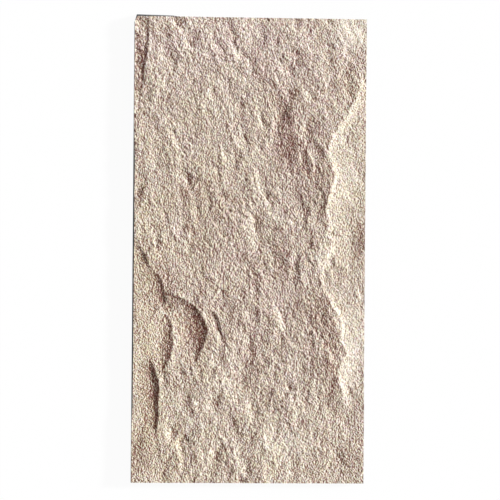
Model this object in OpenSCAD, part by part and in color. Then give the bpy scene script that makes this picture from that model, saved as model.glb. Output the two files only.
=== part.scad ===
// Faux stone wall panel, moulded in one piece from rigid foam.
// The back is flat and the four edges are cut square. The front copies a split rock face:
// a high middle, a low strip down each side, ledges, cracks and one scooped hollow.
// The origin is the middle of the back. X is across, Y is along the length, Z is out of the wall.

/* [Panel] */
// Width across the panel, mm
panel_w = 600; // [500:10:800]
// Length of the panel, mm
panel_l = 1200; // [1100:10:1800]
// Thickness of the high middle, before the relief is added, mm
panel_t = 40; // [30:1:80]
// Least thickness that the mould leaves anywhere, mm
least_t = 15; // [8:0.5:20]

/* [Ledges] */
// How deep every ledge is cut, 1 is the real rock
ledge_depth = 1; // [0.5:0.05:1.5]
// How high the lips of the ledges stand, 1 is the real rock
lip_height = 1; // [0:0.05:1.5]
// How far the sloping face down the right side reaches for each mm that it stands high
right_slant = 2.6; // [2:0.1:4]
// How far the steep face beside the left strip reaches for each mm that it stands high
left_slant = 0.7; // [0.5:0.05:1.2]
// How far the face under the rim of the hollow reaches for each mm that it stands high
hollow_slant = 1.3; // [0.9:0.05:2]
// How far the floor of the hollow takes to climb back up, mm
hollow_run = 62; // [40:1:90]
// Width of the open crack beside the hollow, mm
crack_w = 9; // [4:0.5:14]

/* [Relief] */
// Height of the broad swells and dips, 1 is the real rock
swell_height = 1; // [0:0.05:1.5]
// Height of the widest lumps in the rock, mm
lump_h = 2; // [0:0.1:6]
// Distance from one wide lump to the next, mm
lump_size = 150; // [90:5:240]
// How much height is kept each time the lumps halve in size
lump_keep = 0.68; // [0.4:0.01:0.8]

/* [Broken corner] */
// How much is broken off the top left corner across the panel, mm
chip_w = 6; // [0.5:0.5:20]
// How much is broken off it along the length, mm
chip_l = 13; // [0.5:0.5:40]

/* [Hidden] */

// Which edge a distance is measured from, and which way a ledge drops
to_left = -1;
to_right = 1;

// Each line of a ledge runs from the top of the panel to the bottom.
// A point is [height above the middle, distance in from the edge, cut, lip].
left_line = [
    [600, 30, 1, 0], [560, 34, 3, 0], [520, 32, 4, 0.3], [470, 24, 4, 0.3], [430, 20, 3, 0.3],
    [395, 14, 2, 0], [300, 10, 0, 0], [30, 8, 0, 0], [12, 11, 2, 0], [2, 19, 3, 0.3], [-18, 31, 4, 0.5],
    [-44, 41, 3, 0.3], [-56, 52, 1, 0], [-64, 62, 2, 0.2], [-72, 68, 3, 0.3], [-92, 74, 4, 0.5],
    [-114, 79, 4, 0.5], [-135, 81, 4, 0.3], [-148, 81, 1, 0], [-200, 76, 0, 0], [-260, 58, 0, 0],
    [-285, 48, 1, 0], [-300, 53, 4, 0.5], [-320, 59, 8, 1], [-335, 64, 10, 1.5], [-350, 68, 10, 1.5],
    [-367, 67, 9, 1.5], [-390, 65, 7, 1.5], [-418, 65, 5, 1], [-447, 64, 4, 1], [-473, 61, 2, 0.5],
    [-490, 60, 0, 0], [-600, 56, 0, 0]];
tongue_line = [
    [600, 70, 0, 0], [-60, 78, 0, 0], [-105, 84, 0, 0], [-165, 90, 0, 0], [-180, 94, 3, 0.5],
    [-198, 101, 7, 1], [-227, 102, 8, 1], [-256, 102, 8, 1], [-278, 97, 8, 1], [-300, 86, 7, 0.5],
    [-318, 75, 5, 0], [-332, 74, 1, 0], [-350, 77, 0, 0], [-600, 84, 0, 0]];
hollow_line = [
    [600, 170, 0, 0], [200, 150, 0, 0], [-60, 104, 0, 0], [-102, 90, 0.5, 0], [-111, 94, 3, 0.5],
    [-118, 109, 5, 1], [-126, 129, 7, 1], [-135, 144, 10, 1], [-146, 158, 14, 1], [-162, 173, 19, 1],
    [-182, 185, 25, 1], [-200, 192, 27, 1], [-218, 191, 25, 1], [-233, 188, 20, 1], [-248, 182, 14, 0.5],
    [-270, 171, 6, 0], [-295, 162, 0, 0], [-330, 160, 0, 0], [-600, 160, 0, 0]];
crack_line = [
    [600, 230, 0, 0], [-120, 208, 0, 0], [-160, 210, 1, 0], [-168, 214, 8, 1], [-180, 219, 12, 1],
    [-194, 223, 13, 1], [-208, 226, 10, 0.5], [-220, 230, 8, 0.3], [-234, 235, 2, 0], [-246, 238, 0, 0],
    [-600, 238, 0, 0]];
inner_line = [
    [600, 200, 0, 0], [320, 178, 0, 0], [262, 156, 0, 1], [250, 150, 1, 2], [240, 144, 3, 2],
    [227, 138, 4, 2], [212, 137, 3, 2], [198, 137, 1, 1], [180, 138, 0, 0], [60, 160, 0, 0],
    [-600, 170, 0, 0]];
right_line = [
    [600, 30, 0, 0], [470, 10, 0, 0], [440, 12, 2, 0.5], [422, 17, 5, 1], [400, 26, 7, 1.5],
    [378, 35, 8, 1.5], [356, 44, 8, 2], [327, 65, 8, 2], [301, 80, 7, 2], [285, 90, 6, 3], [274, 96, 5, 3],
    [258, 98, 4, 3], [240, 94, 4, 3], [222, 88, 5, 3], [200, 82, 6, 3], [186, 83, 7, 4], [173, 86, 8, 5],
    [158, 91, 9, 5], [143, 95, 10, 5], [125, 99, 10, 5], [110, 102, 9, 4], [96, 101, 6, 3], [82, 97, 5, 2],
    [66, 93, 5, 2], [52, 99, 5, 1], [40, 105, 4, 0.5], [28, 84, 4, 0.5], [16, 88, 6, 0.5], [-10, 97, 6, 1],
    [-32, 109, 5, 1], [-55, 114, 4, 0.5], [-79, 113, 4, 1], [-101, 106, 5, 2], [-124, 91, 6, 3],
    [-146, 82, 6, 3], [-162, 70, 6, 3], [-185, 62, 5, 2.5], [-213, 60, 5, 2], [-232, 62, 4, 1.5],
    [-246, 54, 5, 2], [-264, 46, 6, 2], [-278, 55, 7, 2], [-303, 62, 8, 2], [-316, 69, 9, 2],
    [-342, 65, 8, 2], [-367, 52, 5, 1.5], [-384, 48, 3, 1], [-405, 46, 0, 0], [-600, 46, 0, 0]];

// Section of each ledge: over what length its lip rises, mm, how far its face reaches for each mm that it
// stands high, and how long its low side takes to climb back, mm
left_section = [14, left_slant, 80];
tongue_section = [20, 1.5, 40];
hollow_section = [14, hollow_slant, hollow_run];
crack_section = [10, 0.4, crack_w * 0.6];
inner_section = [30, 2, 20];
right_section = [34, right_slant, 120];
// No face is narrower than this, mm
least_face = 3;

// A ledge is [its line, edge that it is measured from and side that it drops to, its section]
ledges = [
    [left_line, to_left, left_section],
    [tongue_line, to_left, tongue_section],
    [hollow_line, to_left, hollow_section],
    [crack_line, to_left, crack_section],
    [inner_line, to_right, inner_section],
    [right_line, to_right, right_section]];

// Broad swells and dips: [from the middle across, above the middle, reach across, reach along, height]
swells = [
    [200, 240, 75, 180, 3.5], [200, -250, 60, 150, 3], [60, 320, 40, 100, -2.5], [40, -30, 45, 60, -2.5],
    [30, -500, 90, 80, 3], [160, 530, 110, 120, 3], [265, 10, 32, 60, -2.5], [250, 450, 40, 50, -2],
    [-290, -520, 20, 40, -2], [0, -300, 40, 70, -2], [-150, 40, 60, 110, -2], [-60, 130, 60, 90, 1.5],
    [-270, 60, 40, 80, 1.5], [-120, -420, 90, 120, 2]];

// Columns of the surface between one ledge and the next, from the left edge to the right one
columns = [6, 5, 6, 6, 9, 7, 7];
rows = 110;
// How closely the columns crowd up to the face of a ledge, 1 is evenly spaced
crowding = 1.5;
// The surface is made this much too large all round, and the square cut trims it, mm
trim = 8;
lump_levels = 3;
// Distance above and below a point over which the lean of a ledge is measured, mm
lean_span = 6;

function ease(t) = t * t * (3 - 2 * t);
function mix(a, b, t) = a + (b - a) * t;

// A number from 0 to 1 that looks random and depends only on two whole numbers
function pick(i, j) = let (v = sin(i * 127.1 + j * 311.7 + 33) * 4375.85) v - floor(v);
function lump(x, y) =
    let (i = floor(x), j = floor(y), u = ease(x - i), v = ease(y - j))
    mix(mix(pick(i, j), pick(i + 1, j), u), mix(pick(i, j + 1), pick(i + 1, j + 1), u), v) - 0.5;
function lumps(x, y, size, height, level) = level == 0 ? 0 :
    height * lump(x / size + level * 17, y / size) + lumps(x, y, size / 2, height * lump_keep, level - 1);

// Where a ledge's crest lies across the panel at a height y, its cut and lip there, and how much it leans
function read(ledge, y, k) = lookup(y, [for (p = ledge[0]) [p[0], p[k]]]);
function crest(ledge, y) = ledge[1] * (panel_w / 2 - read(ledge, y, 1));
function cut(ledge, y) = ledge_depth * read(ledge, y, 2);
function lip(ledge, y) = lip_height * read(ledge, y, 3);
function lean(ledge, y) =
    sqrt(1 + pow((crest(ledge, y + lean_span) - crest(ledge, y - lean_span)) / (2 * lean_span), 2));

// Section through a ledge: a lip that rises to the crest, then a cut that is steepest there and climbs back
// slowly. s is the distance from the crest, and is above 0 on the low side.
function section(s, cut, lip, shape) =
    let (face = max(least_face, shape[1] * (cut + lip)))
    lip * exp(-abs(s) / (s < 0 ? shape[0] : face)) -
    (s < 0 ? 0 : cut * (1 - exp(-s / face)) * exp(-s / shape[2]));

// A row of the surface is worked out once for all its points: crests, cuts, lips and leans at that height
function row_lines(y) = [for (ledge = ledges) [crest(ledge, y), cut(ledge, y), lip(ledge, y), lean(ledge, y)]];
function ledge_sum(x, lines) = sum([for (k = [0:len(ledges) - 1])
    let (ledge = ledges[k], at = lines[k])
    section(ledge[1] * (x - at[0]) / at[3], at[1], at[2], ledge[2])]);
function sum(list) = list * [for (v = list) 1];
function swell(x, y) = swell_height * sum([for (s = swells)
    s[4] * exp(-pow((x - s[0]) / s[2], 2) - pow((y - s[1]) / s[3], 2))]);
function height(x, y, lines) = max(least_t,
    panel_t + swell(x, y) + ledge_sum(x, lines) + lumps(x, y, lump_size, lump_h, lump_levels));

// Across positions of one row: each ledge keeps one column on its crest, and the rest crowd up to its face
function stops(lines) = concat([-panel_w / 2 - trim],
    [for (k = [0:len(ledges) - 1]) lines[k][0]], [panel_w / 2 + trim]);
function drops(k, side) = k >= 0 && k < len(ledges) && ledges[k][1] == side;
function crowd(t, k) = drops(k, to_left) ? 1 - pow(1 - t, crowding) :
    drops(k - 1, to_right) ? pow(t, crowding) : t;
function row_x(lines) = let (edge = stops(lines))
    [for (k = [0:len(columns) - 1]) each [for (i = [0:columns[k] - 1])
        mix(edge[k], edge[k + 1], crowd(i / columns[k], k))], edge[len(columns)]];

module rock_block() {
    across = [for (n = columns) 1] * columns;
    wide = across + 1;
    tall = panel_l + 2 * trim;
    top = [for (j = [0:rows])
        let (y = -tall / 2 + tall * j / rows, lines = row_lines(y))
        each [for (x = row_x(lines)) [x, y, height(x, y, lines)]]];
    low = len(top);
    side = panel_w / 2 + trim;
    corners = [[-side, -tall / 2, -trim], [side, -tall / 2, -trim], [side, tall / 2, -trim],
        [-side, tall / 2, -trim]];
    front = [for (j = [0:rows - 1]) for (i = [0:across - 1])
        each [[j * wide + i, (j + 1) * wide + i + 1, j * wide + i + 1],
            [j * wide + i, (j + 1) * wide + i, (j + 1) * wide + i + 1]]];
    end_low = concat([[low, across, low + 1]], [for (i = [0:across - 1]) [low, i, i + 1]]);
    end_right = concat([[low + 1, rows * wide + across, low + 2]],
        [for (j = [0:rows - 1]) [low + 1, j * wide + across, (j + 1) * wide + across]]);
    end_high = concat([[low + 2, rows * wide, low + 3]],
        [for (i = [across:-1:1]) [low + 2, rows * wide + i, rows * wide + i - 1]]);
    end_left = concat([[low + 3, 0, low]], [for (j = [rows:-1:1]) [low + 3, j * wide, (j - 1) * wide]]);
    back = [[low, low + 1, low + 2], [low, low + 2, low + 3]];
    polyhedron(concat(top, corners), concat(front, end_low, end_right, end_high, end_left, back));
}

// The square cut, with the broken corner
module cut_outline() {
    polygon([[-panel_w / 2, -panel_l / 2], [panel_w / 2, -panel_l / 2], [panel_w / 2, panel_l / 2],
        [chip_w - panel_w / 2, panel_l / 2], [-panel_w / 2, panel_l / 2 - chip_l]]);
}

module stone_panel() {
    color("tan") intersection() {
        rock_block();
        linear_extrude(height = 2 * panel_t) cut_outline();
    }
}

stone_panel();
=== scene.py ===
import math

import bpy
import numpy as np
from mathutils import Euler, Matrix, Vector


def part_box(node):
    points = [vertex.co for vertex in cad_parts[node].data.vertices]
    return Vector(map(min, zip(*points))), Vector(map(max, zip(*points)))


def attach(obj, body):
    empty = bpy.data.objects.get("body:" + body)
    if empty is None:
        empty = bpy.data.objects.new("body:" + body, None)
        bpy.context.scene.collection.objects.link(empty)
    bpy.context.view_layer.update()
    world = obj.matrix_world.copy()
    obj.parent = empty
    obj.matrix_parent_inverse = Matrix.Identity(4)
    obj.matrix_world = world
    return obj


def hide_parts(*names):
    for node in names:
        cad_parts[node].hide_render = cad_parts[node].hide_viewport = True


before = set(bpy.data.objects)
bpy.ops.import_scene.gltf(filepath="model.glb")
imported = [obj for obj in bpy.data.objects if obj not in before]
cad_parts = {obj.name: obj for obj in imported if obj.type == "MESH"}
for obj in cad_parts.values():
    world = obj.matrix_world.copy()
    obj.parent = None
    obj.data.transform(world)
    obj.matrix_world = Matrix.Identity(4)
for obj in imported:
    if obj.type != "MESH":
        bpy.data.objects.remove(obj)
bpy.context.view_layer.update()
mm = 0.001
low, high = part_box("stone_panel")
width = (high.x - low.x) / mm
length = (high.y - low.y) / mm

# Camera: a long lens above the panel and a little to its left, so that the left side just shows
cameraView = {
    "place": (-1.479, -0.133, 12.0),    # metres from the middle of the panel's back
    "turn": (0.578, -7.055, 0.469),     # degrees: tip up and down, tip left and right, roll
    "lens": 336.67,                     # mm
    "sensor": 36.0,                     # mm
}


def addCamera(view):
    data = bpy.data.cameras.new("camera")
    data.lens = view["lens"]
    data.sensor_width = view["sensor"]
    camera = bpy.data.objects.new("camera", data)
    camera.location = view["place"]
    camera.rotation_euler = Euler([math.radians(a) for a in view["turn"]], "XYZ")
    bpy.context.scene.collection.objects.link(camera)
    bpy.context.scene.camera = camera


addCamera(cameraView)
print("camera placed")

# Ledge lines from the top down: height above the middle, distance in from the edge, cut, lip, all in mm
leftLine = [
    (600, 30, 1, 0), (560, 34, 3, 0), (520, 32, 4, 0.3), (470, 24, 4, 0.3), (430, 20, 3, 0.3),
    (395, 14, 2, 0), (300, 10, 0, 0), (30, 8, 0, 0), (12, 11, 2, 0), (2, 19, 3, 0.3), (-18, 31, 4, 0.5),
    (-44, 41, 3, 0.3), (-56, 52, 1, 0), (-64, 62, 2, 0.2), (-72, 68, 3, 0.3), (-92, 74, 4, 0.5),
    (-114, 79, 4, 0.5), (-135, 81, 4, 0.3), (-148, 81, 1, 0), (-200, 76, 0, 0), (-260, 58, 0, 0),
    (-285, 48, 1, 0), (-300, 53, 4, 0.5), (-320, 59, 8, 1), (-335, 64, 10, 1.5), (-350, 68, 10, 1.5),
    (-367, 67, 9, 1.5), (-390, 65, 7, 1.5), (-418, 65, 5, 1), (-447, 64, 4, 1), (-473, 61, 2, 0.5),
    (-490, 60, 0, 0), (-600, 56, 0, 0)]
tongueLine = [
    (600, 70, 0, 0), (-60, 78, 0, 0), (-105, 84, 0, 0), (-165, 90, 0, 0), (-180, 94, 3, 0.5),
    (-198, 101, 7, 1), (-227, 102, 8, 1), (-256, 102, 8, 1), (-278, 97, 8, 1), (-300, 86, 7, 0.5),
    (-318, 75, 5, 0), (-332, 74, 1, 0), (-350, 77, 0, 0), (-600, 84, 0, 0)]
hollowLine = [
    (600, 170, 0, 0), (200, 150, 0, 0), (-60, 104, 0, 0), (-102, 90, 0.5, 0), (-111, 94, 3, 0.5),
    (-118, 109, 5, 1), (-126, 129, 7, 1), (-135, 144, 10, 1), (-146, 158, 14, 1), (-162, 173, 19, 1),
    (-182, 185, 25, 1), (-200, 192, 27, 1), (-218, 191, 25, 1), (-233, 188, 20, 1), (-248, 182, 14, 0.5),
    (-270, 171, 6, 0), (-295, 162, 0, 0), (-330, 160, 0, 0), (-600, 160, 0, 0)]
crackLine = [
    (600, 230, 0, 0), (-120, 208, 0, 0), (-160, 210, 1, 0), (-168, 214, 8, 1), (-180, 219, 12, 1),
    (-194, 223, 13, 1), (-208, 226, 10, 0.5), (-220, 230, 8, 0.3), (-234, 235, 2, 0), (-246, 238, 0, 0),
    (-600, 238, 0, 0)]
innerLine = [
    (600, 200, 0, 0), (320, 178, 0, 0), (262, 156, 0, 1), (250, 150, 1, 2), (240, 144, 3, 2),
    (227, 138, 4, 2), (212, 137, 3, 2), (198, 137, 1, 1), (180, 138, 0, 0), (60, 160, 0, 0),
    (-600, 170, 0, 0)]
rightLine = [
    (600, 30, 0, 0), (470, 10, 0, 0), (440, 12, 2, 0.5), (422, 17, 5, 1), (400, 26, 7, 1.5),
    (378, 35, 8, 1.5), (356, 44, 8, 2), (327, 65, 8, 2), (301, 80, 7, 2), (285, 90, 6, 3), (274, 96, 5, 3),
    (258, 98, 4, 3), (240, 94, 4, 3), (222, 88, 5, 3), (200, 82, 6, 3), (186, 83, 7, 4), (173, 86, 8, 5),
    (158, 91, 9, 5), (143, 95, 10, 5), (125, 99, 10, 5), (110, 102, 9, 4), (96, 101, 6, 3), (82, 97, 5, 2),
    (66, 93, 5, 2), (52, 99, 5, 1), (40, 105, 4, 0.5), (28, 84, 4, 0.5), (16, 88, 6, 0.5), (-10, 97, 6, 1),
    (-32, 109, 5, 1), (-55, 114, 4, 0.5), (-79, 113, 4, 1), (-101, 106, 5, 2), (-124, 91, 6, 3),
    (-146, 82, 6, 3), (-162, 70, 6, 3), (-185, 62, 5, 2.5), (-213, 60, 5, 2), (-232, 62, 4, 1.5),
    (-246, 54, 5, 2), (-264, 46, 6, 2), (-278, 55, 7, 2), (-303, 62, 8, 2), (-316, 69, 9, 2),
    (-342, 65, 8, 2), (-367, 52, 5, 1.5), (-384, 48, 3, 1), (-405, 46, 0, 0), (-600, 46, 0, 0)]

# Shape of the panel, in mm. Places on the front are measured from its middle, across and then along.
relief = {
    "thickness": 40.0,         # of the high middle
    "leastThickness": 15.0,
    "spare": 2.0,              # how far the front may rise above the solid
    "cellsAcross": 214,
    "cellsAlong": 428,
    "lumpHeight": 2.0,         # the solid's broad lumps
    "lumpSize": 150.0,
    "lumpKeep": 0.68,          # height kept each time the lumps halve in size
    "cornerAcross": 6.0,       # broken corner at the top left
    "cornerAlong": 13.0,
    "leanOut": 2.5,            # how far the left side's front edge leans out near its two ends
    "leanFrom": [-440, -400, 230, 330],    # fades from full to none and back between these heights
    "leanFade": 12,
    "topFoot": 6.5,            # how far the top side's foot stands out at its left end
    "footFrom": [-290, -200, -170],        # full, most and none of it at these places across
    "footShare": [1, 0.7, 0],
    "footFade": 10,
    # side is the edge that a line is measured from and the way its ledge drops: -1 left, 1 right
    # slant is how wide the face is for each mm that it stands high, run is how far the cut takes to fade
    "ledges": [
        {"line": leftLine, "side": -1, "slant": 0.7, "run": 80, "lipRun": 14, "wander": 1.0},
        {"line": tongueLine, "side": -1, "slant": 1.5, "run": 40, "lipRun": 20, "wander": 1.5},
        {"line": hollowLine, "side": -1, "slant": 1.3, "run": 62, "lipRun": 14, "wander": 0.8},
        {"line": crackLine, "side": -1, "slant": 0.4, "run": 6, "lipRun": 10, "wander": 0.8},
        {"line": innerLine, "side": 1, "slant": 2.0, "run": 20, "lipRun": 30, "wander": 2.0},
        {"line": rightLine, "side": 1, "slant": 2.6, "run": 120, "lipRun": 34, "wander": 3.0}],
    "leastFace": 2.5,          # narrowest face of a ledge
    "bendReach": 6,            # how far up and down a line's direction is read
    # a ledge's line wanders in bends: length of a bend, its share, start and row in the noise, seed
    "bends": [(40, 1.0, 5, 7.3, 91), (14, 0.6, 0, 3.1, 92), (6, 0.5, 0, 2.3, 93)],
    # small flakes: across, along, turn in degrees, half length, cut, lip, face
    # one turned 0 degrees runs along the panel and drops to the right, one turned 180 drops to the left
    "flakes": [
        (283, -108, 20, 24, 4, 1, 7), (214, -62, 4, 18, 3, 1.5, 7), (268, -360, 190, 16, 5, 0.5, 5),
        (-90, -170, 200, 14, 5, 1, 4), (-214, -128, 185, 8, 3, 0.5, 4), (186, -84, 175, 12, 4, 1, 6),
        (226, -190, 8, 22, 3, 2, 8), (208, -268, 12, 26, 3, 2, 8), (222, -28, 186, 14, 4, 1, 6),
        (184, 262, 205, 22, 4, 0.5, 6), (250, -300, 172, 12, 3, 0.5, 6), (146, -150, 190, 20, 3, 1, 7),
        (-240, -160, 149, 36, 3, 0.5, 12)],
    "flakeLip": 12,            # how far a flake's lip reaches back
    "flakeRun": 14,            # how far its cut takes to fade
    "flakeBow": 0.03,          # sideways run for each mm along it
    "flakeTaper": 0.7,         # how it fades towards its ends, 0 is not at all and 1 in a plain arc
    # broad swells and dips: across, along, reach across, reach along, height
    "swells": [
        (200, 240, 75, 180, 3.5), (200, -250, 60, 150, 3), (60, 320, 40, 100, -2.5), (40, -30, 45, 60, -2.5),
        (30, -500, 90, 80, 3), (160, 530, 110, 120, 3), (265, 10, 32, 60, -2.5), (250, 450, 40, 50, -2),
        (-290, -520, 20, 40, -2), (0, -300, 40, 70, -2), (-150, 40, 60, 110, -2), (-60, 130, 60, 90, 1.5),
        (-270, 60, 40, 80, 1.5), (-120, -420, 90, 120, 2)],
    "grainHeight": 1.0,        # how strong the rock's grain is, 1 is as split rock has it
    "grain": [(52, 5.0), (29, 3.3), (16, 2.1), (9, 1.4), (5.6, 1.2), (3.8, 1.1)],    # size of lumps, height
    "grainSeed": 11,
    "wideGrain": 12,           # grain of a larger size than this counts as wide
    "stretch": 1.4,            # how much longer than wide the wide grain's lumps are
    "creases": 0.25,           # how far the wide grain breaks into sharp ridges, 0 to 1
    "lean": (0.1, 0.0003),     # sideways run of the grain for each mm up at the middle, and its change
    "warp": [(34, 9, 61), (13, 4, 63)],              # how the grain is pushed about: size, reach, seed
    "unevenness": [(70, 0.9, 65), (24, 0.5, 66)],    # where it is stronger or weaker: size, share, seed
    # where the wide grain and the speckle are quieter: across, along, reach across, reach along, how much
    "calmSpots": [
        (-165, -205, 70, 85, 0.85), (-255, -380, 40, 130, 0.6), (-245, -60, 45, 75, 0.6),
        (220, 230, 45, 190, 0.6), (240, -250, 45, 140, 0.5), (215, 20, 40, 60, 0.4),
        (-290, 380, 50, 230, 0.3)],
    "lowLeft": {"quiet": 0.5, "fade": 10, "top": 40},    # smoother strips outside the two long ledges
    "lowRight": {"quiet": 0.4, "fade": 12},
}


def ease(t):
    return t * t * (3 - 2 * t)


def mix(a, b, t):
    return a + (b - a) * t


# Soft round spots, each with its middle, its reach across and along, and its amount
def patches(x, y, spots):
    total = 0
    for cx, cy, reachX, reachY, amount in spots:
        total = total + amount * np.exp(-((x - cx) / reachX) ** 2 - ((y - cy) / reachY) ** 2)
    return total


# The next three draw the same lumps as the solid has
def pick(i, j):
    v = np.sin(np.radians(i * 127.1 + j * 311.7 + 33)) * 4375.85
    return v - np.floor(v)


def lump(x, y):
    i = np.floor(x)
    j = np.floor(y)
    u = ease(x - i)
    v = ease(y - j)
    lower = mix(pick(i, j), pick(i + 1, j), u)
    upper = mix(pick(i, j + 1), pick(i + 1, j + 1), u)
    return mix(lower, upper, v) - 0.5


def solidLumps(x, y):
    total = 0
    size = relief["lumpSize"]
    height = relief["lumpHeight"]
    for level in (3, 2, 1):
        total = total + height * lump(x / size + level * 17, y / size)
        size = size / 2
        height = height * relief["lumpKeep"]
    return total


noiseSlots = 4096    # slopes drawn for each seed, enough that the noise doesn't repeat on the panel


# Noise that is 0 at each whole number and rises away from it with a slope drawn by its seed
def gradientNoise(x, y, seed):
    i = np.floor(x).astype(int)
    j = np.floor(y).astype(int)
    random = np.random.default_rng(seed)
    turn = random.random(noiseSlots) * 2 * math.pi
    order = random.permutation(noiseSlots)

    def corner(di, dj):
        angle = turn[order[(order[(i + di) % noiseSlots] + j + dj) % noiseSlots]]
        return np.cos(angle) * (x - i - di) + np.sin(angle) * (y - j - dj)

    u = ease(x - i)
    v = ease(y - j)
    return mix(mix(corner(0, 0), corner(1, 0), u), mix(corner(0, 1), corner(1, 1), u), v)


# Noise of several sizes added to a start, each layer with its size, share and seed
def layered(x, y, layers, start):
    total = start
    for size, share, seed in layers:
        total = total + share * gradientNoise(x / size, y / size, seed)
    return total


def grain(x, y):
    lean, bend = relief["lean"]
    warpX = layered(x, y, relief["warp"], x + lean * y + bend * y * y / 2)
    warpY = layered(x, y, [(size, reach, seed + 1) for size, reach, seed in relief["warp"]], y)
    calm = 1 - patches(x, y, relief["calmSpots"])
    creases = relief["creases"]
    total = 0
    for level, (size, height) in enumerate(relief["grain"]):
        wide = size > relief["wideGrain"]
        tall = size * (relief["stretch"] if wide else 1)
        seed = relief["grainSeed"] + level
        # each size starts at another place in the noise
        part = gradientNoise(warpX / size + 3.7 * level, warpY / tall + 9.1 * level, seed)
        if wide:
            ridges = 0.4 - 1.6 * np.abs(part)
            part = calm * ((1 - creases) * part + creases * ridges)
        total = total + height * part
    return total * layered(x, y, relief["unevenness"], 1)


# What a ledge line has at height y: its distance in for k of 1, its cut for 2 and its lip for 3
def along(line, k, y):
    heights = [p[0] for p in line][::-1]
    values = [p[k] for p in line][::-1]
    return np.interp(y, heights, values)


# Height across a ledge, where s is 0 at the crest and rises to the low side
def section(s, cut, lip, lipRun, face, run):
    past = np.maximum(s, 0)
    crest = lip * np.exp(-np.abs(s) / np.where(s < 0, lipRun, face))
    floor = -cut * (1 - np.exp(-past / face)) * np.exp(-past / run)
    return crest + floor


# How far a place lies to the right of a ledge's crest
def fromCrest(ledge, x, y, number):
    wander = 0
    for bend, share, start, row, seed in relief["bends"]:
        wander = wander + share * gradientNoise(y / bend + start, x * 0 + number * row, seed)
    crest = ledge["side"] * (width / 2 - along(ledge["line"], 1, y)) + ledge["wander"] * wander
    reach = relief["bendReach"]
    rise = (along(ledge["line"], 1, y + reach) - along(ledge["line"], 1, y - reach)) / (2 * reach)
    return (x - crest) / np.sqrt(1 + rise ** 2)


def ledgeHeight(ledge, x, y, number):
    cut, lip = [along(ledge["line"], k, y) for k in (2, 3)]
    face = np.maximum(relief["leastFace"], ledge["slant"] * (cut + lip))
    s = ledge["side"] * fromCrest(ledge, x, y, number)
    return section(s, cut, lip, ledge["lipRun"], face, ledge["run"])


def flakeHeight(x, y):
    total = 0
    for cx, cy, turn, halfLength, cut, lip, face in relief["flakes"]:
        angle = math.radians(turn)
        across = (x - cx) * math.cos(angle) + (y - cy) * math.sin(angle)
        down = (y - cy) * math.cos(angle) - (x - cx) * math.sin(angle)
        share = np.clip(1 - (down / halfLength) ** 2, 0, 1) ** relief["flakeTaper"]
        s = across + relief["flakeBow"] * down
        total = total + section(s, cut * share, lip * share, relief["flakeLip"], face, relief["flakeRun"])
    return total


def roughness(x, y):
    left, right = relief["lowLeft"], relief["lowRight"]
    leftCrest = along(leftLine, 1, y) - width / 2
    rightCrest = width / 2 - along(rightLine, 1, y)
    pastLeft = ease(np.clip((leftCrest - x) / left["fade"], 0, 1)) * (y < left["top"])
    pastRight = ease(np.clip((x - rightCrest) / right["fade"], 0, 1))
    return (1 - left["quiet"] * pastLeft) * (1 - right["quiet"] * pastRight)


def frontHeight(x, y):
    z = relief["thickness"] + solidLumps(x, y) + patches(x, y, relief["swells"])
    for number, ledge in enumerate(relief["ledges"]):
        z = z + ledgeHeight(ledge, x, y, number)
    z = z + flakeHeight(x, y)
    z = z + relief["grainHeight"] * grain(x, y) * roughness(x, y)
    return np.clip(z, relief["leastThickness"], high.z / mm + relief["spare"])


# Points past the break are drawn back onto it
def breakCorner(x, y):
    across, up = relief["cornerAcross"], relief["cornerAlong"]
    past = (across - width / 2 - x) / across + (y - length / 2 + up) / up - 1
    shift = np.where(past > 0, past / (across ** -2 + up ** -2), 0)
    return x + shift / across, y - shift / up


# The front's points and the feet of the four sides below its rim
def panelPoints(x, y, z, rim):
    nearLeft = np.clip((relief["leanFade"] - width / 2 - x) / relief["leanFade"], 0, 1)
    outward = np.interp(y, relief["leanFrom"], [1, 0, 0, 1]) * nearLeft
    nearTop = np.clip((y - length / 2 + relief["footFade"]) / relief["footFade"], 0, 1)
    flare = np.interp(x, relief["footFrom"], relief["footShare"]) * nearTop
    front = np.stack([x - relief["leanOut"] * outward, y, z], -1).reshape(-1, 3)
    foot = np.stack([x, y + relief["topFoot"] * flare, 0 * z], -1).reshape(-1, 3)
    return np.concatenate([front, foot[rim]]) * mm


def markRimSharp(mesh, rim):
    onRim = np.zeros(len(mesh.vertices), bool)
    onRim[rim] = True
    ends = np.zeros(len(mesh.edges) * 2, int)
    mesh.edges.foreach_get("vertices", ends)
    sharp = mesh.attributes.new("sharp_edge", "BOOLEAN", "EDGE")
    sharp.data.foreach_set("value", onRim[ends[::2]] & onRim[ends[1::2]])


def buildPanel():
    xs = np.linspace(-width / 2, width / 2, relief["cellsAcross"] + 1)
    ys = np.linspace(-length / 2, length / 2, relief["cellsAlong"] + 1)
    x, y = np.meshgrid(xs, ys)
    z = frontHeight(x, y)
    x, y = breakCorner(x, y)
    index = np.arange(x.size).reshape(x.shape)
    rim = np.concatenate([index[0, :-1], index[:-1, -1], index[-1, :0:-1], index[:0:-1, 0]])
    foot = x.size + np.arange(rim.size)
    cells = np.stack([index[:-1, :-1], index[:-1, 1:], index[1:, 1:], index[1:, :-1]], -1).reshape(-1, 4)
    sides = np.stack([rim, foot, np.roll(foot, -1), np.roll(rim, -1)], -1)
    faces = cells.tolist() + sides.tolist() + [foot[::-1].tolist()]
    mesh = bpy.data.meshes.new("stone_panel_front")
    mesh.from_pydata(panelPoints(x, y, z, rim).tolist(), [], faces)
    mesh.validate()
    isFront = np.arange(len(mesh.polygons)) < len(cells)
    mesh.polygons.foreach_set("material_index", np.where(isFront, 0, 1).astype(np.int32))
    mesh.polygons.foreach_set("use_smooth", isFront)
    markRimSharp(mesh, rim)
    mesh.update()
    addPaintMaps(mesh, x, y, z)
    piece = bpy.data.objects.new("faux_stone_panel", mesh)
    bpy.context.scene.collection.objects.link(piece)
    return piece


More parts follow.
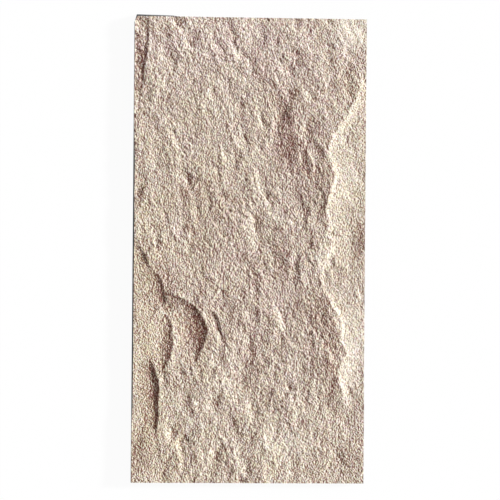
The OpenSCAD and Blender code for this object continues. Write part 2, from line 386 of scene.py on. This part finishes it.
# Paint: a pale coat over a dark one, with painted light and shade in it: paler where the front faces the
# lamp, darker in the pits, on slopes turned away and behind ledge crests. A place's coat is 0 where it is all
# dark and 1 where it is all pale.
paint = {
    "paintedLightTurn": 11.0,      # degrees above the right that the painted light comes from, as the lamp's light does
    "level": 0.5,           # coat of a level place
    "slopeLightAndShade": 1.075,         # painted light and shade: how much paler a slope is that looks towards the lamp, and darker one turned away
    "washAndHollowShade": 0.12,           # partly a dark wash, partly painted shade: paler for each mm that stands up above the places around it
    "washAndShadeReach": 3.0,       # how far around it is measured, in cells of the mesh
    "steepShade": 0.6,          # painted shade: how much darker the steep slopes are that turn away from the lamp
    "steepShadeFrom": 0.3,      # the slope where that starts
    "steepShadeMost": 0.6,      # the most slope past that which counts
    "crestLightAndShade": 0.2,         # painted highlight on a ledge's crest on the lamp's side, and painted shade behind it
    "crestHighlight": (3, 3.5),   # mm: middle of the painted highlight to the right of the crest, and its reach
    "crestShade": (-4, 4),
    "fullCut": 7,           # mm: a ledge cut as deep as this gets all of the painted highlight and shade
    "glazeAndShadeStrength": 1.15,  # of all the glaze and painted shade below
    # glaze of uneven tone, with painted broad shade and light in it: across, along, reach across, reach
    # along, how much paler (or darker)
    "glazeAndPaintedShade": [
        (262, 230, 45, 190, 0.12), (275, -235, 34, 130, 0.22), (268, 572, 60, 46, 0.36),
        (240, 440, 32, 50, -0.15), (82, 345, 44, 70, -0.23), (106, 258, 42, 50, -0.26),
        (160, 190, 45, 60, -0.1), (90, -20, 22, 52, -0.2), (35, -72, 24, 30, -0.15),
        (172, -150, 34, 50, -0.18), (207, -270, 22, 110, -0.24), (190, -28, 20, 36, 0.2),
        (290, 30, 26, 36, -0.18), (-288, 520, 28, 60, -0.17), (-295, 420, 14, 30, -0.12),
        (-228, -95, 30, 45, -0.26), (-136, -208, 28, 55, -0.26), (-216, -240, 18, 60, -0.14),
        (-256, -375, 18, 95, -0.2), (-292, -530, 18, 40, -0.2), (95, -500, 80, 45, 0.18),
        (-148, -480, 26, 40, 0.09), (245, -520, 40, 36, -0.08), (5, -285, 20, 50, -0.14),
        (-45, -465, 22, 40, -0.07), (-158, 148, 26, 45, -0.19), (-78, 130, 28, 40, -0.16),
        (-150, 20, 30, 40, -0.09), (-294, 60, 14, 42, 0.22), (20, -140, 90, 150, -0.04),
        (17, 478, 16, 48, -0.12), (128, 490, 18, 26, -0.1), (0, 560, 330, 110, 0.05),
        (-110, -110, 160, 210, -0.05), (-79, -192, 8, 26, -0.25), (-271, 535, 9, 80, 0.22)],
    # where the coat leans to ochre (above 0) or to mauve (below 0), in the same form
    "hues": [
        (-270, -300, 45, 330, 0.4), (-170, -520, 130, 110, 0.25), (-60, 540, 330, 110, -0.4),
        (110, 260, 80, 170, -0.25), (60, -100, 120, 160, -0.2), (-270, 60, 60, 120, 0.2),
        (262, 100, 50, 300, 0.15), (-120, 200, 130, 150, 0.1)],
    "hueDrift": 0.3,        # how far the hue drifts besides
    "drift": [(80, 1.0, 71), (28, 0.6, 72)],    # mm, share, seed
    "coat": [(0.0, "#54281F"), (0.3, "#8A675C"), (0.5, "#C1AB98"), (0.7, "#DACCB9"), (1.0, "#EEE7D5")],
    "tint": [(0.0, "#FFF9FF"), (0.5, "#FFFEFB"), (1.0, "#FEFDF0")],    # mauve, plain and ochre
    # specks of sprayed paint are under 2 mm, less than the render's 2.6 mm a pixel, so drawn 4 mm wide
    "speckSize": 4.0,
    "speckLightAndShade": 4.7,      # how strong their painted light and shade is
    "speckStep": 1.0,       # mm from a speck's lit side to its middle
    "speckEven": 0.4,       # the part of them that is the same from all sides
    "speckCalm": 0.4,       # how much weaker they are in the calm spots
    "fleckSize": 3.2,       # flecks of pigment, under 1 mm wide and drawn coarser for the same reason
    "flecks": 0.54,         # how strong they are
    "fleckColour": 0.33,    # how much of their red, green and blue shows
    "gritSize": 7.0,        # pits of the rock, with grit down to 1 mm in them
    "gritHeight": 3.0,      # mm
    "roughness": 0.85,
    "ior": 1.45,
}


# Mean of the places around each one, weighted by a bell curve that is so many cells wide
def blur(values, cells):
    reach = int(3 * cells) + 1
    weights = np.exp(-0.5 * (np.arange(-reach, reach + 1) / cells) ** 2)
    weights = weights / weights.sum()
    for axis in (0, 1):
        padded = np.pad(values, [(reach, reach) if a == axis else (0, 0) for a in (0, 1)], mode="edge")
        total = 0
        for step, weight in enumerate(weights):
            part = slice(step, step + values.shape[axis])
            total = total + weight * (padded[part, :] if axis == 0 else padded[:, part])
        values = total
    return values


# a soft line across a ledge's crest, used for its painted highlight and its painted shade
def crestMark(t, mark):
    middle, reach = mark
    return np.exp(-((t - middle) / reach) ** 2)


def addMap(mesh, name, values):
    every = np.full(len(mesh.vertices), 0.5, np.float32)    # the feet of the sides stay at 0.5
    every[:values.size] = np.clip(values, 0, 1).reshape(-1)
    mesh.attributes.new(name, "FLOAT", "POINT").data.foreach_set("value", every)


def addPaintMaps(mesh, x, y, z):
    turn = math.radians(paint["paintedLightTurn"])
    slopeY, slopeX = np.gradient(z, y[1, 0] - y[0, 0], x[0, 1] - x[0, 0])
    # painted light and shade: how far each place faces the lamp's direction
    facingLamp = -(slopeX * math.cos(turn) + slopeY * math.sin(turn))
    # painted shade in hollows, partly a dark wash: how far each place stands above those around it
    raised = z - blur(z, paint["washAndShadeReach"])
    coat = paint["level"] + paint["slopeLightAndShade"] * facingLamp + paint["washAndHollowShade"] * raised
    # glaze of uneven tone and painted broad shade and light
    coat = coat + paint["glazeAndShadeStrength"] * patches(x, y, paint["glazeAndPaintedShade"])
    # painted shade on steep slopes turned away from the lamp
    coat = coat - paint["steepShade"] * np.clip(-facingLamp - paint["steepShadeFrom"], 0, paint["steepShadeMost"])
    # painted highlight just past each ledge crest on the lamp's side, painted shade just before it
    for number, ledge in enumerate(relief["ledges"]):
        t = fromCrest(ledge, x, y, number)
        share = np.clip(along(ledge["line"], 2, y) / paint["fullCut"], 0, 1)
        mark = crestMark(t, paint["crestHighlight"]) - crestMark(t, paint["crestShade"])
        coat = coat + paint["crestLightAndShade"] * share * mark
    hue = 0.5 + patches(x, y, paint["hues"]) + paint["hueDrift"] * layered(x, y, paint["drift"], 0)
    addMap(mesh, "paleCoat", coat)
    addMap(mesh, "ochreCoat", hue)
    addMap(mesh, "speckle", 1 - paint["speckCalm"] * patches(x, y, relief["calmSpots"]))


panel = buildPanel()
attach(panel, "root")
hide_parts("stone_panel")
print("panel built:", len(panel.data.polygons), "faces")


def linear(hexColour):
    values = [int(hexColour[i:i + 2], 16) / 255 for i in (1, 3, 5)]
    return [v / 12.92 if v <= 0.04045 else ((v + 0.055) / 1.055) ** 2.4 for v in values] + [1.0]


# Settings are a node's sockets or its own values; stops are a colour ramp's places and hex colours
def addNode(tree, kind, settings=None, links=None):
    node = tree.nodes.new(kind)
    for name, value in (settings or {}).items():
        if name == "stops":
            elements = node.color_ramp.elements
            while len(elements) < len(value):
                elements.new(0.5)
            for element, (place, colour) in zip(elements, value):
                element.position = place
                element.color = linear(colour)
        elif isinstance(name, int) or name in node.inputs:
            node.inputs[name].default_value = value
        else:
            setattr(node, name, value)
    for name, source in (links or {}).items():
        tree.links.new(source, node.inputs[name])
    return node


def newMaterial(name):
    material = bpy.data.materials.new(name)
    material.use_nodes = True
    material.node_tree.nodes.clear()
    return material, material.node_tree


# Rigid polyurethane foam, moulded on split rock and sprayed with matt paint: a mauve-brown coat, then a pale
# sand one,
# with painted light and shade: paler where it faces the lamp, darker in pits. The eye sees dry, dusty stone
# with no shine.
def paintedPolyurethane():
    material, tree = newMaterial("paintedPolyurethane")
    place = addNode(tree, "ShaderNodeTexCoord").outputs["Object"]
    coat = addNode(tree, "ShaderNodeAttribute", {"attribute_name": "paleCoat"})
    # painted light and shade on each speck: paler on the side that it turns to the lamp, darker on the other
    turn = math.radians(paint["paintedLightTurn"])
    step = paint["speckStep"] * mm
    sides = []
    for way in (-step, step):
        moved = addNode(tree, "ShaderNodeVectorMath",
                        {"operation": "ADD", 1: (way * math.cos(turn), way * math.sin(turn), 0)}, {0: place})
        specks = addNode(tree, "ShaderNodeTexNoise",
                         {"Scale": 1000 / paint["speckSize"], "Detail": 2.0, "Roughness": 0.7},
                         {"Vector": moved.outputs[0]})
        sides.append(specks.outputs["Fac"])
    even = paint["speckEven"]
    near = addNode(tree, "ShaderNodeMath", {"operation": "MULTIPLY_ADD", 1: 1 + even, 2: -even / 2},
                   {0: sides[0]})
    # painted light and shade: a speck's lamp side minus its far side
    speckShading = addNode(tree, "ShaderNodeMath", {"operation": "SUBTRACT"}, {0: near.outputs[0], 1: sides[1]})
    speckle = addNode(tree, "ShaderNodeAttribute", {"attribute_name": "speckle"})
    local = addNode(tree, "ShaderNodeMath", {"operation": "MULTIPLY"},
                    {0: speckShading.outputs[0], 1: speckle.outputs["Fac"]})
    amount = addNode(tree, "ShaderNodeMath", {"operation": "MULTIPLY_ADD", 1: paint["speckLightAndShade"]},
                     {0: local.outputs[0], 2: coat.outputs["Fac"]})
    colour = addNode(tree, "ShaderNodeValToRGB", {"stops": paint["coat"]}, {"Fac": amount.outputs[0]})
    hueMap = addNode(tree, "ShaderNodeAttribute", {"attribute_name": "ochreCoat"})
    tint = addNode(tree, "ShaderNodeValToRGB", {"stops": paint["tint"]}, {"Fac": hueMap.outputs["Fac"]})
    tinted = addNode(tree, "ShaderNodeMix", {"data_type": "RGBA", "blend_type": "MULTIPLY", 0: 1.0},
                     {6: colour.outputs["Color"], 7: tint.outputs["Color"]})
    # flecks of pigment: red, green and blue vary each by itself
    flecks = addNode(tree, "ShaderNodeTexVoronoi", {"Scale": 1000 / paint["fleckSize"]}, {"Vector": place})
    duller = addNode(tree, "ShaderNodeHueSaturation", {"Saturation": paint["fleckColour"]},
                     {"Color": flecks.outputs["Color"]})
    flecked = addNode(tree, "ShaderNodeMix",
                      {"data_type": "RGBA", "blend_type": "OVERLAY", 0: paint["flecks"]},
                      {6: tinted.outputs[2], 7: duller.outputs["Color"]})
    grit = addNode(tree, "ShaderNodeTexNoise",
                   {"Scale": 1000 / paint["gritSize"], "Detail": 3.0, "Roughness": 0.7}, {"Vector": place})
    bump = addNode(tree, "ShaderNodeBump", {"Strength": 1.0, "Distance": paint["gritHeight"] * mm},
                   {"Height": grit.outputs["Fac"]})
    bsdf = addNode(tree, "ShaderNodeBsdfPrincipled", {"Roughness": paint["roughness"], "IOR": paint["ior"]},
                   {"Base Color": flecked.outputs[2], "Normal": bump.outputs["Normal"]})
    addNode(tree, "ShaderNodeOutputMaterial", links={"Surface": bsdf.outputs["BSDF"]})
    return material


# Sides and back. The foam's cells are under 1 mm wide, too fine to show, so they are drawn 3 mm wide.
skin = {
    # slate grey, darker than the skin alone, as painted shade on the sides
    "colours": [(0.3, "#35393B"), (0.7, "#434749")],
    "cellSize": 3.0,
    "cellDepth": 0.8,
    "roughness": 0.9,
    "ior": 1.45,
}


# The same foam as it comes out of the mould, with a slate grey skin darkened further as painted shade, so the
# side shows as a dark shaded edge: plain, dull and finely pitted
def mouldedPolyurethane():
    material, tree = newMaterial("mouldedPolyurethane")
    place = addNode(tree, "ShaderNodeTexCoord")
    cells = addNode(tree, "ShaderNodeTexNoise", {"Scale": 1000 / skin["cellSize"], "Detail": 2.0},
                    {"Vector": place.outputs["Object"]})
    colour = addNode(tree, "ShaderNodeValToRGB", {"stops": skin["colours"]}, {"Fac": cells.outputs["Fac"]})
    bump = addNode(tree, "ShaderNodeBump", {"Strength": 0.5, "Distance": skin["cellDepth"] * mm},
                   {"Height": cells.outputs["Fac"]})
    bsdf = addNode(tree, "ShaderNodeBsdfPrincipled", {"Roughness": skin["roughness"], "IOR": skin["ior"]},
                   {"Base Color": colour.outputs["Color"], "Normal": bump.outputs["Normal"]})
    addNode(tree, "ShaderNodeOutputMaterial", links={"Surface": bsdf.outputs["BSDF"]})
    return material


panel.data.materials.append(paintedPolyurethane())
panel.data.materials.append(mouldedPolyurethane())
print("panel painted")

# Floor, lamp and world
studio = {
    "key": 4.5,              # strength of the lamp
    "fill": 0.38,            # strength of the world's light on the panel
    "elevation": 30.0,       # degrees that the lamp stands above the floor
    "swing": 11.0,           # degrees that it is turned up from the right
    "softness": 8.0,         # degrees that it is wide
    "floorSize": 12.0,       # metres
    "floorDrop": 0.0005,     # metres below the panel's back
    "floorColour": "#F3F3F3",
    "floorWhite": 0.95,      # share of plain white where the floor is seen; the rest takes the shadow
}


# 1 for what the camera sees, straight or in a shine, and 0 for the light that falls on things
def seenShare(tree):
    path = addNode(tree, "ShaderNodeLightPath")
    mirrored = addNode(tree, "ShaderNodeMath", {"operation": "MAXIMUM"},
                       {0: path.outputs["Is Glossy Ray"], 1: path.outputs["Is Transmission Ray"]})
    seen = addNode(tree, "ShaderNodeMath", {"operation": "MAXIMUM"},
                   {0: path.outputs["Is Camera Ray"], 1: mirrored.outputs[0]})
    return seen.outputs[0]


# Background paper with a matt, uncoated surface: a plain white ground with only a faint shadow
def mattPaper():
    material, tree = newMaterial("mattPaper")
    paper = addNode(tree, "ShaderNodeBsdfDiffuse", {"Color": linear(studio["floorColour"])})
    glow = addNode(tree, "ShaderNodeEmission", {"Strength": 1.0})
    share = addNode(tree, "ShaderNodeMath", {"operation": "MULTIPLY", 1: studio["floorWhite"]},
                    {0: seenShare(tree)})
    both = addNode(tree, "ShaderNodeMixShader",
                   links={0: share.outputs[0], 1: paper.outputs[0], 2: glow.outputs[0]})
    addNode(tree, "ShaderNodeOutputMaterial", links={"Surface": both.outputs[0]})
    return material


def addFloor():
    bpy.ops.mesh.primitive_plane_add(size=studio["floorSize"], location=(0, 0, -studio["floorDrop"]))
    floor = bpy.context.object
    floor.name = "floor"
    floor.data.materials.append(mattPaper())


def addLamp():
    data = bpy.data.lights.new("key", "SUN")
    data.energy = studio["key"]
    data.angle = math.radians(studio["softness"])
    lamp = bpy.data.objects.new("key", data)
    up = math.radians(studio["elevation"])
    swing = math.radians(studio["swing"])
    towards = Vector((math.cos(up) * math.cos(swing), math.cos(up) * math.sin(swing), math.sin(up)))
    lamp.rotation_euler = towards.to_track_quat("Z", "Y").to_euler()
    bpy.context.scene.collection.objects.link(lamp)


# White where it is seen, and no more than the fill on the panel
def addWorld():
    world = bpy.data.worlds.new("studio")
    world.use_nodes = True
    tree = world.node_tree
    tree.nodes.clear()
    fill = studio["fill"]
    strength = addNode(tree, "ShaderNodeMath", {"operation": "MULTIPLY_ADD", 1: 1 - fill, 2: fill},
                       {0: seenShare(tree)})
    background = addNode(tree, "ShaderNodeBackground", {"Color": linear("#FFFFFF")},
                         {"Strength": strength.outputs[0]})
    addNode(tree, "ShaderNodeOutputWorld", links={"Surface": background.outputs[0]})
    bpy.context.scene.world = world


addFloor()
addLamp()
addWorld()
bpy.context.scene.view_settings.view_transform = "Standard"
print("stage lit")
